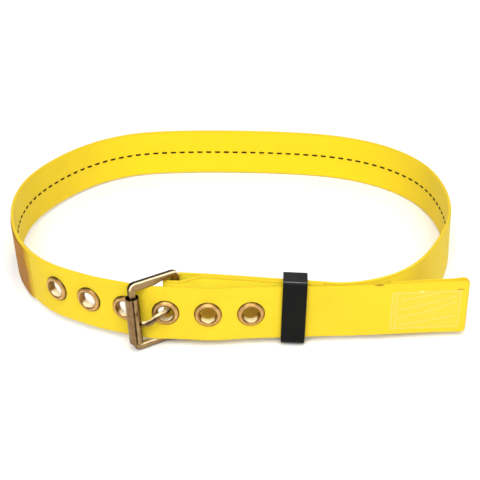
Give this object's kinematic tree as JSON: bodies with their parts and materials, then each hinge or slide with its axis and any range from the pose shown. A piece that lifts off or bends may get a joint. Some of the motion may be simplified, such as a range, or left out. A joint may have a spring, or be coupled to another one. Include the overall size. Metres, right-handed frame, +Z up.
{
  "type": "tongue buckle belt",
  "caption": "Wide webbing body belt fastened in a loop, with a roller buckle and tongue, a row of grommets, a keeper loop and a free hemmed end.",
  "frame": {"origin": "middle of the bounding box on the surface that the belt stands on", "axes": "+X along the belt's width with the free end towards +X, +Y from the buckle to the back of the waist, +Z up"},
  "size_m": [0.3786, 0.2994, 0.0575],
  "materials": {
    "webbing": "woven yellow nylon webbing with a low sheen",
    "buckle": "antique brass, satin",
    "grommet": "brass, bright on the rolled edge",
    "keeper": "black, satin",
    "patch": "tan, smooth",
    "dark_thread": "dark brown sewing thread",
    "pale_thread": "cream sewing thread"
  },
  "bodies": {
    "belt": {"webbing": "webbing", "buckle_frame": "buckle", "buckle_tongue": "buckle", "keeper": "keeper", "side_patch": "patch", "grommet_1": "grommet", "grommet_2": "grommet", "grommet_3": "grommet", "grommet_4": "grommet", "grommet_5": "grommet", "grommet_6": "grommet"},
    "roller": {"buckle_roller": "buckle"}
  },
  "joints": [
    {"name": "roller_spin", "type": "hinge", "parent": "belt", "child": "roller", "pos_m": [-0.07253, -0.14335, 0.02542], "axis": [-0.0393, 0.0649, 0.9971], "continuous": true}
  ]
}
